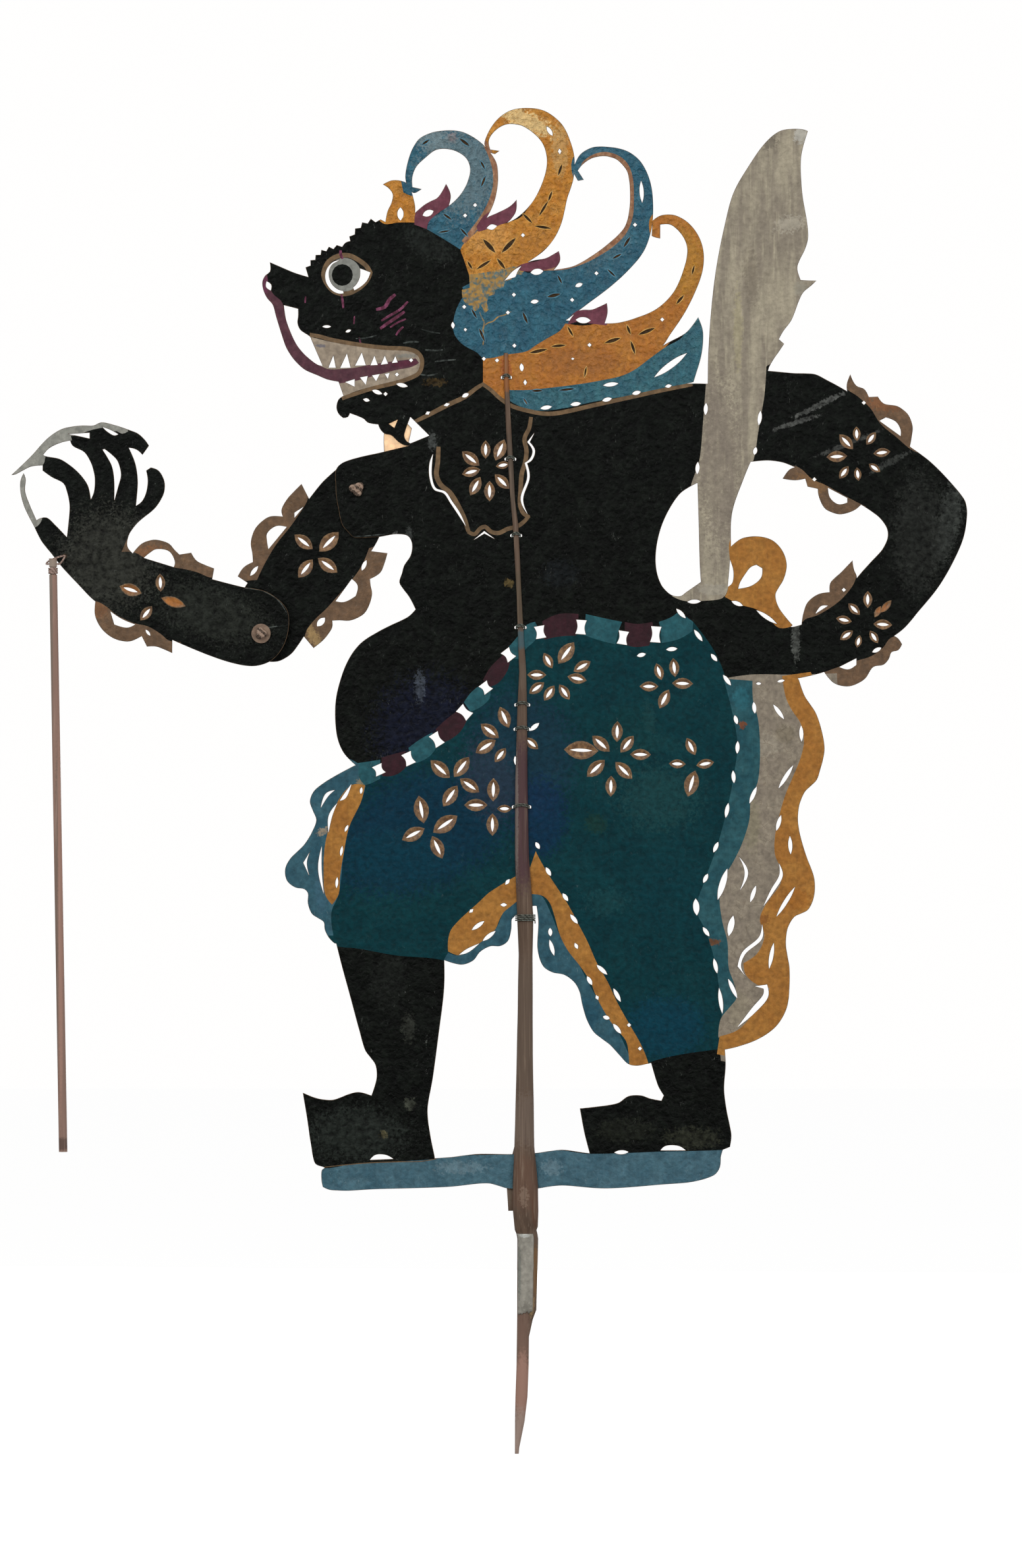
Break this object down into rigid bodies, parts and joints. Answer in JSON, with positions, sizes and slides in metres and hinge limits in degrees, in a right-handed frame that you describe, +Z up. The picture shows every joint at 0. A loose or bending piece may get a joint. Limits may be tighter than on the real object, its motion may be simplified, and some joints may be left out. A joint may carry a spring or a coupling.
{
  "type": "shadow puppet",
  "caption": "Flat, painted and pierced hide puppet of a giant on a split rod, with a knotted arm that a slim rod moves.",
  "frame": {"origin": "middle of the small flat tip of the main rod's pointed foot", "axes": "+Z up along the main rod, -Y out of the face that shows in the picture, +X to the viewer's right"},
  "size_m": [0.6041, 0.023, 0.851],
  "materials": {
    "body_paint": "matte paint on hide",
    "arm_paint": "matte paint on hide",
    "raw_hide": "thin translucent hide",
    "washer_hide": "bare hide",
    "main_rod_wood": "worn, oiled",
    "arm_rod_wood": "worn, oiled",
    "cord": "twisted cord",
    "thread": "twisted thread",
    "paper": "aged paper"
  },
  "bodies": {
    "body": {"body_hide": "body_paint", "chin_patch": "raw_hide", "main_rod_front": "main_rod_wood", "main_rod_back": "main_rod_wood", "rod_tie_1": "thread", "rod_tie_2": "thread", "rod_tie_3": "thread", "rod_tie_4": "thread", "rod_tie_5": "thread", "rod_tie_6": "thread", "rod_tie_7": "thread", "rod_tie_8": "thread", "blank_label": "paper", "shoulder_cord": "cord"},
    "upper_arm": {"upper_arm_hide": "arm_paint", "elbow_cord": "cord", "elbow_washer": "washer_hide"},
    "forearm": {"forearm_hide": "arm_paint"},
    "wrist_thread": {"wrist_loop": "thread"},
    "arm_rod": {"arm_rod": "arm_rod_wood", "arm_rod_lashing": "thread"}
  },
  "joints": [
    {"name": "shoulder", "type": "hinge", "parent": "body", "child": "upper_arm", "pos_m": [-0.10108, 0, 0.61005], "axis": [0, 1, 0], "range_deg": [-25, 75]},
    {"name": "elbow", "type": "hinge", "parent": "upper_arm", "child": "forearm", "pos_m": [-0.16153, 0, 0.5186], "axis": [0, 1, 0], "range_deg": [-78, 42]},
    {"name": "rod_swing", "type": "hinge", "parent": "forearm", "child": "wrist_thread", "pos_m": [-0.28557, -0.006, 0.56751], "axis": [0, 1, 0], "range_deg": [-75, 75]},
    {"name": "rod_tilt", "type": "hinge", "parent": "wrist_thread", "child": "arm_rod", "pos_m": [-0.29261, -0.012, 0.56226], "axis": [-1, 0, 0], "range_deg": [0, 60]}
  ]
}
